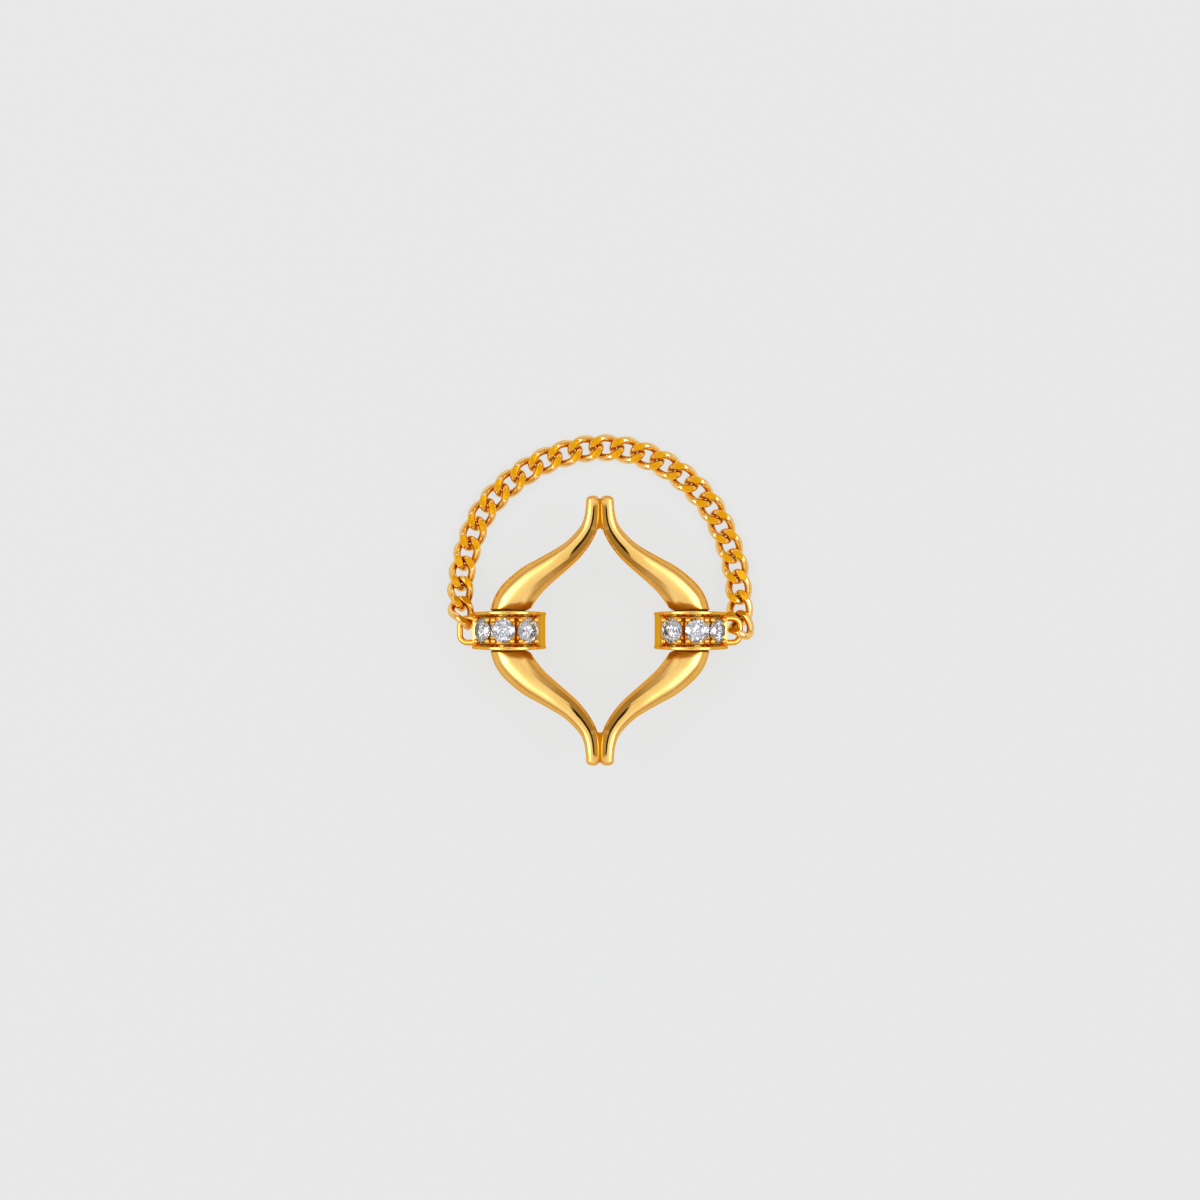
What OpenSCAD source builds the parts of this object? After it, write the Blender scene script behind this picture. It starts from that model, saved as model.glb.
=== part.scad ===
// Pave ring: an openwork lozenge of four horn-shaped arms, a pave collar on the thick
// middle of each side, and a flat-cut curb chain that is the band.
// It lies face up on the surface at z = 0, with x to the right and y to the upper point.

/* [Arms] */
// Width of an arm where it meets the collar
arm_w = 2.73; // [2.6:0.01:2.8]
// Height of an arm's section over its width
arm_round = 0.94; // [0.9:0.01:1]
// How far an arm's crest lies toward the ring's centre, over its half width
crest_shift = 0.24; // [0:0.01:0.3]
// Rounding of an arm's square end beside the collar
arm_end_r = 0.1; // [0.05:0.01:0.15]
// Diameter of the neck inside the collar
neck_d = 2.4; // [2.2:0.05:2.45]
// Half width of the solder web between the arms at each point
web_half_w = 0.25; // [0.2:0.01:0.3]

/* [Collars] */
// Outer diameter of a collar, which stands on the surface
collar_d = 5.2; // [5.2:0.01:5.3]
// Distance of a collar's axis from the ring's centre
collar_x = 6.37; // [6.35:0.01:6.4]
// Width of a collar at its top
collar_w_top = 2.73; // [2.7:0.01:2.78]
// Width of a collar at its bottom
collar_w_bottom = 2.33; // [2.2:0.01:2.5]
// Width of the channel between the rims
channel_w = 2.27; // [2.2:0.01:2.3]
// Depth of the channel's floor below the rims
channel_depth = 0.18; // [0.15:0.01:0.2]
// Radial clearance of a collar on its neck
neck_gap = 0.07; // [0.05:0.01:0.1]

/* [Stones] */
// Diameter of a stone at its girdle
stone_d = 1.76; // [1.7:0.01:1.77]
// Table width over the stone's diameter
table_ratio = 0.57; // [0.53:0.01:0.6]
// Slope of the crown's main facets
crown_angle = 34.5; // [32:0.5:36]
// Slope of the pavilion's main facets
pavilion_angle = 40.8; // [40:0.2:42]
// Thickness of the girdle
girdle_t = 0.05; // [0.03:0.01:0.06]
// Angle round the collar from the middle stone to the one farther out
stone_step_out = 43; // [43:0.1:43.5]
// Angle round the collar from the middle stone to the one nearer the ring's centre
stone_step_in = 46.5; // [45:0.1:47]
// Angle by which the row of stones is turned away from the ring's centre
stone_turn = 10; // [8:0.5:12]
// Clearance between a stone and its seat
seat_gap = 0.03; // [0.02:0.005:0.035]
// Diameter of a bead grain
grain_d = 0.32; // [0.26:0.01:0.34]

/* [Staples] */
// Wire of the staple that holds the chain on a collar
staple_wire = 0.42; // [0.38:0.01:0.43]
// Distance of the staple's legs from its middle
staple_half = 0.85; // [0.83:0.01:0.87]
// Reach of the staple from the collar's axis
staple_reach = 3.52; // [3.5:0.01:3.54]
// Angle by which the staple points below the horizontal
staple_drop = 12; // [11:0.5:13]

/* [Chain] */
// Wire of a link
link_wire = 0.44; // [0.4:0.01:0.45]
// Half length of a link's centre line
link_half_l = 1.03; // [1.02:0.005:1.04]
// Half width of a link's centre line
link_half_w = 0.69; // [0.68:0.01:0.7]
// Twist of a link in degrees for each millimetre of its length
link_twist = 54; // [52:0.5:56]
// Half thickness to which the chain is cut flat above and below
link_cut = 0.47; // [0.46:0.01:0.48]
// Distance from one link's centre to the next
link_step = 1.475; // [1.473:0.001:1.477]

/* [Hidden] */
collar_r = collar_d / 2;
plate_z = collar_r;
end_y = 1.42;
tip_y = 9.42;
arm_sides = 14;
samples_per_row = 3;
web_from = 7.1;
web_to = 9.2;
web_h = 0.6;
web_z = 4.06;

// Centre line, width and height above the surface of the upper right arm, from its square
// end to its tip; the arms rise from the collars as the plate arches over the finger
ARM_X = 0;
ARM_Y = 1;
ARM_W = 2;
ARM_Z = 3;
arm_rows = [
    [6.32, end_y, arm_w, plate_z],
    [6.06, 2.05, 2.66, 2.72],
    [5.55, 2.73, 2.50, 2.91],
    [4.75, 3.52, 2.25, 3.18],
    [3.83, 4.19, 1.96, 3.46],
    [2.90, 4.84, 1.72, 3.71],
    [2.05, 5.49, 1.52, 3.87],
    [1.35, 6.23, 1.36, 3.95],
    [0.83, 7.00, 1.21, 4.02],
    [0.58, 7.75, 1.09, 4.08],
    [0.50, 8.55, 0.99, 4.10],
    [0.49, 9.12, 0.95, 4.05]
];
// How fast the inner edge may leave the square end while the arm starts to lean
end_lean = 0.9;

// The stones sit with their tables level with the rims
stone_r = stone_d / 2;
table_r = stone_r * table_ratio;
star_ratio = 0.78;
lower_ratio = 0.24;
crown_h = (stone_r - table_r) * tan(crown_angle);
pavilion_h = stone_r * tan(pavilion_angle);
girdle_r = collar_r - crown_h - girdle_t / 2;
stone_angles = [-stone_step_out - stone_turn, -stone_turn, stone_step_in - stone_turn];

// The channel runs past the first and the last stone, with bead grains beside the stones
channel_before = 23;
channel_after = 21;
channel_from = stone_angles[0] - channel_before;
channel_to = stone_angles[2] + channel_after;
grain_seat_r = collar_r - channel_depth + 0.02;
grain_y = 0.74;
grain_off = 16;
staple_corner = 0.55;
staple_root = 0.3;

// How the chain lies: the heading of each step from one link to the next, in degrees,
// from the left collar over the top to the right one
headings = [
    96, 86, 77, 72, 65, 53, 43, 36, 29, 20, 13, 3,
    -7, -17, -26, -35, -43, -52, -62, -68, -74, -81, -87, -89
];
link_count = len(headings) + 1;
// Slope of the first steps down from the left staple and of the last steps up to the right one
left_slopes = [-19, -15, -11.5, -3.5];
right_slopes = [2.75, 3.5, 7.5, 29];
// Roll of the first links from the left staple and of the last links at the right one
left_rolls = [32, 22, 9, 7];
right_rolls = [4, 12, 14, 4];
// Place and turn of the first link, which hooks through the left staple
first_link_at = [-9.66, 1.2, 1.745];
first_link_turn = [32, 22, 112];
// Place and turn of the last link, which hooks through the right staple
last_link_at = [9.833, 0.31, 1.572];
last_link_turn = [5, -50, -73];
// A link's centre line is a squarish oval, and its wire is six-sided
link_bulge = 2.5;
link_rings = 16;
wire_sides = 6;

gold = "gold";
chain_gold = "goldenrod";
stone_white = "lightcyan";

left_names = [for (i = [1 : 3]) str("left_stone_", i)];
right_names = [for (i = [1 : 3]) str("right_stone_", i)];
link_names = [for (i = [1 : link_count]) str("link_", i)];

function unit(v) = v / norm(v);
function mix(a, b, t) = a + (b - a) * t;
function reversed(list) = [for (i = [len(list) - 1 : -1 : 0]) list[i]];
function power(v, e) = sign(v) * pow(abs(v), e);

// A smooth curve through four rows of a table, between the second and the third
function through(a, b, c, d, t) =
    let (
        slope = c - a,
        bend = 2 * a - 5 * b + 4 * c - d,
        twist = 3 * b - a - 3 * c + d
    )
    0.5 * (2 * b + slope * t + bend * t * t + twist * t * t * t);

// Skin over rings that have the same number of points, closed round or capped at both ends
module skin(rings, closed = false) {
    n = len(rings);
    m = len(rings[0]);
    bands = [for (i = [0 : n - (closed ? 1 : 2)], j = [0 : m - 1])
        let (a = i * m, b = (i + 1) % n * m, k = (j + 1) % m)
        each [[a + j, b + k, a + k], [a + j, b + j, b + k]]];
    first_cap = [for (j = [0 : m - 1]) j];
    last_cap = [for (j = [m - 1 : -1 : 0]) (n - 1) * m + j];
    polyhedron(
        points = [for (ring = rings) each ring],
        faces = closed ? bands : concat(bands, [first_cap, last_cap]),
        convexity = 6
    );
}

// A station of the arm: its place, direction of travel and half width
function station(x, y, z, dir, half) = [[x, y, z], dir, half];
AT = 0;
DIR = 1;
HALF = 2;

// The square end with its rounded edge
arm_half = arm_w / 2;
end_stations = [for (t = [0, 45, 90])
    let (y = end_y + arm_end_r * (1 - cos(t)), half = arm_half - arm_end_r * (1 - sin(t)))
    station(arm_rows[0][ARM_X], y, plate_z, [0, 1], half)];

// Near the square end the sections lean no further than their inner edge allows
function lean_of(way, y, half) =
    min(atan2(-way[0], way[1]), asin(min(1, end_lean * (y - end_y - arm_end_r) / half)));
arm_last = len(arm_rows) - 1;
arm_line = [for (i = [0 : arm_last - 1], s = [0 : samples_per_row - 1])
    through(
        arm_rows[max(i - 1, 0)],
        arm_rows[i],
        arm_rows[i + 1],
        arm_rows[min(i + 2, arm_last)],
        s / samples_per_row
    )];
arm_path = concat([for (i = [1 : len(arm_line) - 1]) arm_line[i]], [arm_rows[arm_last]]);
line_stations = [for (i = [0 : len(arm_path) - 1])
    let (
        here = arm_path[i],
        way = arm_path[min(i + 1, len(arm_path) - 1)] - arm_path[max(i - 1, 0)],
        half = here[ARM_W] / 2,
        lean = lean_of(way, here[ARM_Y], half)
    )
    station(here[ARM_X], here[ARM_Y], here[ARM_Z], [-sin(lean), cos(lean)], half)];

// The rounded tip
tip = arm_rows[arm_last];
tip_stations = [for (t = [28, 52, 74])
    station(tip[ARM_X], mix(tip[ARM_Y], tip_y, sin(t)), tip[ARM_Z], [0, 1], tip[ARM_W] / 2 * cos(t))];
arm_stations = concat(end_stations, line_stations, tip_stations);

// The lower arm is the upper one mirrored, and one side runs from tip to tip
function flip(v) = [v[0], -v[1], v[2]];
upper_run = [for (s = reversed(arm_stations)) [s[AT], -s[DIR], s[HALF]]];
lower_run = [for (s = arm_stations) [flip(s[AT]), [s[DIR][0], -s[DIR][1]], s[HALF]]];

// The arm's section, with its crest set toward the ring's centre
function arm_section(s) = [for (k = [0 : arm_sides - 1])
    let (
        a = 360 / arm_sides * (k + 0.5),
        out = s[HALF] * (cos(a) - crest_shift * pow(max(0, sin(a)), 2)),
        up = s[HALF] * arm_round * sin(a)
    )
    s[AT] + [-s[DIR][1] * out, s[DIR][0] * out, up]];

// The neck's section, on the collar's axis
function neck_section(y) = [for (k = [0 : arm_sides - 1])
    let (a = 360 / arm_sides * (k + 0.5))
    [collar_x + neck_d / 2 * cos(a), y, plate_z + neck_d / 2 * sin(a)]];

// One side of the plate: upper arm, neck and lower arm
module side() {
    skin(concat(
        [for (s = upper_run) arm_section(s)],
        [neck_section(end_y), neck_section(-end_y)],
        [for (s = lower_run) arm_section(s)]
    ));
}

// Solder that fills the groove between the two arms at a point
module web() {
    translate([-web_half_w, web_from, web_z - web_h / 2])
        cube([2 * web_half_w, web_to - web_from, web_h]);
}

module frame() {
    color(gold) {
        side();
        mirror([1, 0, 0]) side();
        web();
        mirror([0, 1, 0]) web();
    }
}

// Turns a shape about the collar's axis: angle 0 faces up, positive toward the ring's centre
module at_angle(angle) {
    rotate([0, angle, 0]) children();
}

// A section turned round the collar's axis, between two angles
module round_axis(from, to) {
    rotate([90, 0, 0]) rotate([0, 0, 90 - to]) rotate_extrude(angle = to - from, $fn = 96) children();
}

// The sleeve, narrower at the bottom
module sleeve() {
    half_top = collar_w_top / 2;
    half_bottom = collar_w_bottom / 2;
    intersection() {
        rotate([90, 0, 0]) cylinder(r = collar_r, h = 2 * collar_w_top, center = true, $fn = 96);
        rotate([90, 0, 90]) linear_extrude(height = 3 * collar_r, center = true)
            polygon([
                [-half_top, collar_r],
                [half_top, collar_r],
                [half_bottom, -collar_r],
                [-half_bottom, -collar_r]
            ]);
    }
}

module channel() {
    round_axis(channel_from, channel_to)
        translate([collar_r - channel_depth, -channel_w / 2]) square([1, channel_w]);
}

// Clearance round a stone, open above its crown
module seat() {
    wide = stone_r + seat_gap;
    narrow = table_r + seat_gap * 2;
    translate([0, 0, girdle_r]) rotate_extrude($fn = 48)
        polygon([
            [0, -girdle_t / 2 - pavilion_h - 2 * seat_gap],
            [wide, -girdle_t / 2 - seat_gap],
            [wide, girdle_t / 2 + seat_gap],
            [narrow, girdle_t / 2 + crown_h],
            [narrow, 1],
            [0, 1]
        ]);
}

module grain(angle, y) {
    at_angle(angle) translate([0, y, grain_seat_r]) sphere(d = grain_d, $fn = 24);
}

// Bead grains at the corners of each stone
module grains() {
    for (stone = stone_angles, side = [-1, 1], off = [-grain_off, grain_off])
        grain(stone + off, side * grain_y);
}

// D-shaped staple on the collar's outer side, for the chain
module staple() {
    straight = staple_half - staple_corner;
    root = collar_r - staple_root;
    bend_x = staple_reach - staple_corner;
    rotate([0, 180 - staple_drop, 0]) {
        for (side = [-1, 1]) {
            translate([root, side * staple_half, 0]) rotate([0, 90, 0])
                cylinder(d = staple_wire, h = bend_x - root, $fn = 32);
            translate([bend_x, side * straight, 0]) rotate([0, 0, side > 0 ? 0 : -90])
                rotate_extrude(angle = 90, $fn = 64)
                    translate([staple_corner, 0]) circle(d = staple_wire, $fn = 32);
        }
        translate([staple_reach, straight, 0]) rotate([90, 0, 0])
            cylinder(d = staple_wire, h = 2 * straight, $fn = 32);
    }
}

// Room for the neck, right through the collar
module neck_hole() {
    rotate([90, 0, 0])
        cylinder(d = neck_d + 2 * neck_gap, h = 2 * collar_w_top, center = true, $fn = 64);
}

module at_left_collar() {
    translate([-collar_x, 0, plate_z]) children();
}

module collar() {
    color(gold) difference() {
        union() {
            difference() {
                sleeve();
                channel();
            }
            grains();
            staple();
        }
        neck_hole();
        for (angle = stone_angles) at_angle(angle) seat();
    }
}

module left_collar() {
    at_left_collar() collar();
}

module right_collar() {
    mirror([1, 0, 0]) left_collar();
}

// Points on a circle at one height of the stone
function ring_at(r, z, count, from) = [for (k = [0 : count - 1])
    let (a = from + 360 / count * k)
    [r * cos(a), r * sin(a), z]];

// Round brilliant with its girdle at z = 0 and its table up
module brilliant() {
    top = girdle_t / 2;
    half_step = 22.5;
    star_r = stone_r * star_ratio;
    lower_r = stone_r * lower_ratio;
    star_z = top + (stone_r - star_r * cos(half_step)) * tan(crown_angle);
    lower_z = -top - (stone_r - lower_r * cos(half_step)) * tan(pavilion_angle);
    points = concat(
        ring_at(table_r, top + crown_h, 8, 0),
        ring_at(star_r, star_z, 8, half_step),
        ring_at(stone_r, top, 16, 0),
        ring_at(stone_r, -top, 16, 0),
        ring_at(lower_r, lower_z, 8, half_step),
        [[0, 0, -top - pavilion_h]]
    );
    function table(i) = i % 8;
    function star(i) = 8 + (i + 8) % 8;
    function upper(k) = 16 + (k + 16) % 16;
    function under(k) = 32 + (k + 16) % 16;
    function low(i) = 48 + (i + 8) % 8;
    culet = 56;
    faces = concat(
        [[for (i = [0 : 7]) table(i)]],
        [for (i = [0 : 7]) each [
            [table(i), star(i), table(i + 1)],
            [table(i), star(i - 1), upper(2 * i), star(i)],
            [star(i), upper(2 * i), upper(2 * i + 1)],
            [star(i), upper(2 * i + 1), upper(2 * i + 2)],
            [low(i), under(2 * i + 1), under(2 * i)],
            [low(i), under(2 * i + 2), under(2 * i + 1)],
            [culet, low(i), under(2 * i), low(i - 1)]
        ]],
        [for (k = [0 : 15]) [upper(k), under(k), under(k + 1), upper(k + 1)]]
    );
    polyhedron(points = points, faces = [for (f = faces) reversed(f)], convexity = 2);
}

module left_stone(i) {
    color(stone_white) at_left_collar() at_angle(stone_angles[i]) translate([0, 0, girdle_r]) brilliant();
}

module right_stone(i) {
    mirror([1, 0, 0]) left_stone(i);
}

// A link's centre line, twisted along its length
function link_point(t) =
    let (
        x = link_half_l * power(cos(t), 2 / link_bulge),
        y = link_half_w * power(sin(t), 2 / link_bulge),
        roll = -link_twist * x
    )
    [x, y * cos(roll), y * sin(roll)];

// The wire round that line, cut flat above and below
function link_ring(t) =
    let (
        nearby = 2,
        here = link_point(t),
        along = unit(link_point(t + nearby) - link_point(t - nearby)),
        roll = -link_twist * here[0],
        side_way = sin(t) / link_half_w,
        outward = [cos(t) / link_half_l, side_way * cos(roll), side_way * sin(roll)],
        across = unit(cross(along, outward)),
        out = cross(across, along)
    )
    [for (k = [0 : wire_sides - 1])
        let (a = 360 / wire_sides * k, p = here + link_wire / 2 * (cos(a) * out + sin(a) * across))
        [p[0], p[1], min(link_cut, max(-link_cut, p[2]))]];

module curb_link() {
    skin([for (k = [0 : link_rings - 1]) link_ring(360 / link_rings * (k + 0.5))], closed = true);
}

// The chain's way from link to link, with the last link brought exactly to its place
last = link_count - 1;
function slope_of_step(i) =
    i < len(left_slopes) ? left_slopes[i]
    : i >= last - len(right_slopes) ? right_slopes[i - last + len(right_slopes)]
    : 0;
function roll_of_link(i) =
    i < len(left_rolls) ? left_rolls[i]
    : i > last - len(right_rolls) ? right_rolls[i - last - 1 + len(right_rolls)]
    : 0;
function step_to_next(i) =
    let (h = headings[i], s = slope_of_step(i))
    link_step * [cos(h) * cos(s), sin(h) * cos(s), sin(s)];
function summed(steps, i, total) =
    i == len(steps) ? [total] : concat([total], summed(steps, i + 1, total + steps[i]));
free_way = summed([for (i = [0 : last - 1]) step_to_next(i)], 0, first_link_at);
function link_at(i) = free_way[i] + (last_link_at - free_way[last]) * i / last;
function link_turn(i) =
    i == 0 ? first_link_turn
    : i == last ? last_link_turn
    : [
        roll_of_link(i),
        -(slope_of_step(i - 1) + slope_of_step(i)) / 2,
        (headings[i - 1] + headings[i]) / 2
    ];

module link(i) {
    color(chain_gold) translate(link_at(i)) rotate(link_turn(i)) curb_link();
}

frame();
left_collar();
right_collar();
for (i = [0 : 2]) {
    left_stone(i);
    right_stone(i);
}
for (i = [0 : last])
    link(i);
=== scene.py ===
# %% [markdown]
# A pave ring, seen from straight above. Its face is an open lozenge of four horn-shaped arms,
# with a stone-set collar on the thick middle of each side, and its band is a curb chain.
# The solid model gives every place and size. This lesson gives each piece the fine shape and
# the finish that a jeweller gives it. All is modelled in millimetres, and a piece is scaled
# to metres when it is finished.

import math

import bmesh
import bpy
from mathutils import Matrix, Vector


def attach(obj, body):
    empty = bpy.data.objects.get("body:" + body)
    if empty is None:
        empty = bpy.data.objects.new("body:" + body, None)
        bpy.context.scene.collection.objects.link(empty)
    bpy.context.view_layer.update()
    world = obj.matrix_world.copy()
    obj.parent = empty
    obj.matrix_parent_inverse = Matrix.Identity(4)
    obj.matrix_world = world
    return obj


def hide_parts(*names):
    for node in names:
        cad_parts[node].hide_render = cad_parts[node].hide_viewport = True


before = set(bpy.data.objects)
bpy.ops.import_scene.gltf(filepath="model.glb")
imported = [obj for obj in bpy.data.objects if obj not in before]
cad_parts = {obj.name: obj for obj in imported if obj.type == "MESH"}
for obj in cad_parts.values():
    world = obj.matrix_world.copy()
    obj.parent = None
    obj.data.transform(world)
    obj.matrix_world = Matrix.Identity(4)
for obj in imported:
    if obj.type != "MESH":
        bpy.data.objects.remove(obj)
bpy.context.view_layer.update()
print("nodes in the frame:", len(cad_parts))

# %% [markdown]
# The photograph was taken from straight above with a long lens, so the camera looks down
# and stands far off. A long lens keeps the collars' tall sides out of the picture. The view
# is 1200 pixels wide, and one pixel is 0.07 mm on the ring, so the width in view is 84 mm.

# %% Camera
MM = 0.001
PHOTO_WIDTH = 1200
MM_PER_PIXEL = 0.07
RING_CENTRE_PIXEL = (600.0, 630.5)
PLATE_Z = 2.6
CAMERA_DISTANCE = 400.0
SENSOR_WIDTH = 36.0
NEAREST_SEEN = 0.01

scene = bpy.context.scene
view_width = PHOTO_WIDTH * MM_PER_PIXEL
view_middle = PHOTO_WIDTH / 2
camera_data = bpy.data.cameras.new("overhead camera")
camera_data.sensor_width = SENSOR_WIDTH
camera_data.lens = SENSOR_WIDTH * CAMERA_DISTANCE / view_width
camera_data.clip_start = NEAREST_SEEN
camera = bpy.data.objects.new("overhead camera", camera_data)
camera.location = (
    (view_middle - RING_CENTRE_PIXEL[0]) * MM_PER_PIXEL * MM,
    (RING_CENTRE_PIXEL[1] - view_middle) * MM_PER_PIXEL * MM,
    (PLATE_Z + CAMERA_DISTANCE) * MM,
)
scene.collection.objects.link(camera)
scene.camera = camera
print("lens:", round(camera_data.lens, 1), "mm")

# %% [markdown]
# Colours are written as the hex values that a picture of the ring shows. A shader works in
# linear light, so one function turns the one into the other, by the curve of the sRGB
# standard. One more small function adds a node, sets or joins its inputs, and gives a ramp
# its stops.


# %% Colours and nodes
def linear(hex_value):
    channels = [int(hex_value[i : i + 2], 16) / 255 for i in (1, 3, 5)]
    return [c / 12.92 if c <= 0.04045 else ((c + 0.055) / 1.055) ** 2.4 for c in channels] + [1.0]


def add_node(tree, kind, inputs=None, stops=None, **settings):
    node = tree.nodes.new(kind)
    for name, value in settings.items():
        setattr(node, name, value)
    for socket, value in (inputs or {}).items():
        if isinstance(value, bpy.types.NodeSocket):
            tree.links.new(value, node.inputs[socket])
        else:
            node.inputs[socket].default_value = value
    if stops:
        bands = node.color_ramp.elements
        bands[0].position, bands[1].position = stops[0][0], stops[-1][0]
        for position, _ in stops[1:-1]:
            bands.new(position)
        for band, (_, colour) in zip(bands, stops):
            band.color = (*colour[:3], 1.0)
    return node


# %% [markdown]
# The ring is 18 carat yellow gold. Gold is a mirror with a strong yellow tint, and what tells
# one gold surface from another is the tool that worked it. So one function makes every
# finish from two tints, a roughness and how far it wanders, and the depth of the tool's
# lines. Tint and roughness wander in patches of 1.5 mm, which tells metal from plastic.
# The real lines are a few micrometres apart. Here they are 60 micrometres apart, because
# finer ones don't show.

# %% Gold
TOOL_LINE = 0.06 * MM
LINE_DETAIL = 2.0
LINE_TURN = (0.3, 0.2, 0.8)
LINE_STRETCH = (1.0, 0.15, 1.0)
HAZE_PATCH = 1.5 * MM
HAZE_DETAIL = 3.0
EDGE_TINT = "#FFD070"


def gold(name, light, deep, roughness, haze, line_depth, satin=0.0, painted_light=None):
    """One finish. Satin is the roughness that a mesh's satin number adds. The last argument is a scale
    of tints that paints highlight and shade by the mesh's painted light number."""
    material = bpy.data.materials.new(name)
    material.use_nodes = True
    tree = material.node_tree
    shader = tree.nodes["Principled BSDF"]
    shader.inputs["Metallic"].default_value = 1.0
    shader.inputs["Specular Tint"].default_value = linear(EDGE_TINT)
    place = add_node(tree, "ShaderNodeTexCoord").outputs["Object"]

    patch_inputs = {"Vector": place, "Scale": 1 / HAZE_PATCH, "Detail": HAZE_DETAIL}
    patch = add_node(tree, "ShaderNodeTexNoise", patch_inputs).outputs["Fac"]
    tints = {"Factor": patch, "A": linear(deep), "B": linear(light)}
    colour = add_node(tree, "ShaderNodeMix", tints, data_type="RGBA").outputs["Result"]
    # Painted highlight and shade: a number on the mesh picks a tint from the scale, and the tint
    # multiplies the gold.
    if painted_light:
        painted_light_share = add_node(tree, "ShaderNodeAttribute", attribute_name="painted_light").outputs["Fac"]
        shades = [(position, linear(shade)) for position, shade in painted_light]
        painted_light_tint = add_node(tree, "ShaderNodeValToRGB", {"Fac": painted_light_share}, shades).outputs["Color"]
        both = {"Factor": 1.0, "A": colour, "B": painted_light_tint}
        mixed = add_node(tree, "ShaderNodeMix", both, data_type="RGBA", blend_type="MULTIPLY")
        colour = mixed.outputs["Result"]
    tree.links.new(colour, shader.inputs["Base Color"])

    spread = {"Value": patch, "To Min": roughness - haze, "To Max": roughness + haze}
    rough = add_node(tree, "ShaderNodeMapRange", spread).outputs["Result"]
    if satin:
        soft = add_node(tree, "ShaderNodeAttribute", attribute_name="satin").outputs["Fac"]
        terms = {0: soft, 1: satin, 2: rough}
        rough = add_node(tree, "ShaderNodeMath", terms, operation="MULTIPLY_ADD").outputs["Value"]
    tree.links.new(rough, shader.inputs["Roughness"])

    turning = {"Vector": place, "Rotation": LINE_TURN, "Scale": LINE_STRETCH}
    turned = add_node(tree, "ShaderNodeMapping", turning).outputs["Vector"]
    line_inputs = {"Vector": turned, "Scale": 1 / TOOL_LINE, "Detail": LINE_DETAIL}
    lines = add_node(tree, "ShaderNodeTexNoise", line_inputs).outputs["Fac"]
    relief = {"Height": lines, "Strength": 1.0, "Distance": line_depth}
    bump = add_node(tree, "ShaderNodeBump", relief)
    tree.links.new(bump.outputs["Normal"], shader.inputs["Normal"])
    return material


# %% [markdown]
# Each finish below is one that a goldsmith would name, though some also carry painted shade or a
# painted highlight. Solder has more copper and zinc than the gold round it, so it is redder. The neck
# in the gap between an arm and its collar is tinted dark as painted shade. On the chain a scale of
# tints paints a highlight on the wire's outer shoulder and shade on the inner side of each link, and
# the painted light number runs from the inside (0) to the outside (1) of a link.

# %% The gold finishes
BUFFED_DEPTH = 0.0003 * MM
DRAWN_DEPTH = 0.0005 * MM
TOOLED_DEPTH = 0.001 * MM
# Tints that paint light on the chain: deep ones paint shade on a link's inside, pale ones paint a
# highlight on its outer shoulder.
PAINTED_HIGHLIGHT_AND_SHADE = [
    (0.0, "#B4883C"),
    (0.25, "#E6B75C"),
    (0.5, "#FFE9B0"),
    (0.75, "#FFFAE8"),
    (1.0, "#FCE2AA"),
]

# Cast and buffed on a felt wheel: a deep mirror along the ridge, a soft sheen on the bodies.
arm_gold = gold("polished_yellow_gold", "#F4C878", "#ECBA5E", 0.08, 0.025, BUFFED_DEPTH, satin=0.17)
# Turned and then cut bright: rims and beads that glint but don't mirror.
collar_gold = gold("bright_cut_yellow_gold", "#F0BE5E", "#E6AC44", 0.24, 0.04, BUFFED_DEPTH)
# Drawn through a die, with painted light: pale tints paint a highlight on the shoulders and deep ones
# paint shade on the insides.
chain_gold = gold("drawn_yellow_gold_wire", "#FFECC0", "#FDE2A8", 0.18, 0.04, DRAWN_DEPTH, painted_light=PAINTED_HIGHLIGHT_AND_SHADE)
# Shaved flat with a diamond tool: an even, deep yellow face.
flat_gold = gold("shaved_yellow_gold", "#D89A14", "#CA8C0C", 0.48, 0.05, TOOLED_DEPTH)
# Flowed with a torch: reddish and a little dull.
solder = gold("gold_solder", "#C47A12", "#B46C0C", 0.4, 0.06, TOOLED_DEPTH)
# Cut with a graver, and darker as painted shade: the channel's floor and end wall are tinted for the
# shade between the walls and stones.
channel_gold_painted_shade = gold("graver_cut_yellow_gold_painted_shade", "#CC8E28", "#BA7C1A", 0.34, 0.06, TOOLED_DEPTH)
# Filed flat, and darker as painted shade: the collars' sides and the V-cut are tinted for the shade on
# them, and the arm ends mirror the sides as a brown shade.
filed_gold_painted_shade = gold("filed_yellow_gold_painted_shade", "#BC8828", "#A8761E", 0.4, 0.05, TOOLED_DEPTH)
# Painted shade: the neck in the narrow gap between an arm and its collar is tinted dark for the shade
# that falls there.
painted_shade_joint = gold("neck_in_painted_shade", "#6A4616", "#4E320E", 0.5, 0.06, TOOLED_DEPTH)
gold_finishes = (
    arm_gold,
    collar_gold,
    chain_gold,
    flat_gold,
    solder,
    channel_gold_painted_shade,
    filed_gold_painted_shade,
    painted_shade_joint,
)
print("gold finishes:", [finish.name for finish in gold_finishes])

# %% [markdown]
# The stones are brilliant-cut diamonds. They have no colour of their own, and their sparkle
# comes from a very high index of refraction, 2.42, which throws the light back out of the
# crown. The solid stones have all 57 facets of a real one, but cut so evenly that whole
# groups of them light up alike. A cutter's facets are each a little off, so cells 0.28 mm
# wide tilt the surface a little, each its own way. The real play of light is finer still,
# but drawn so fine it would turn to an even grey.

# %% Diamond
DIAMOND_IOR = 2.42
FACET_SIZE = 0.28 * MM
FACET_TILT = 0.17
CELL_MIDDLE = (0.5, 0.5, 0.5)
STONE_NODES = [f"{side}_stone_{number}" for side in ("left", "right") for number in (1, 2, 3)]

diamond = bpy.data.materials.new("colourless_diamond")
diamond.use_nodes = True
stone_tree = diamond.node_tree
stone_shader = stone_tree.nodes["Principled BSDF"]
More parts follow.
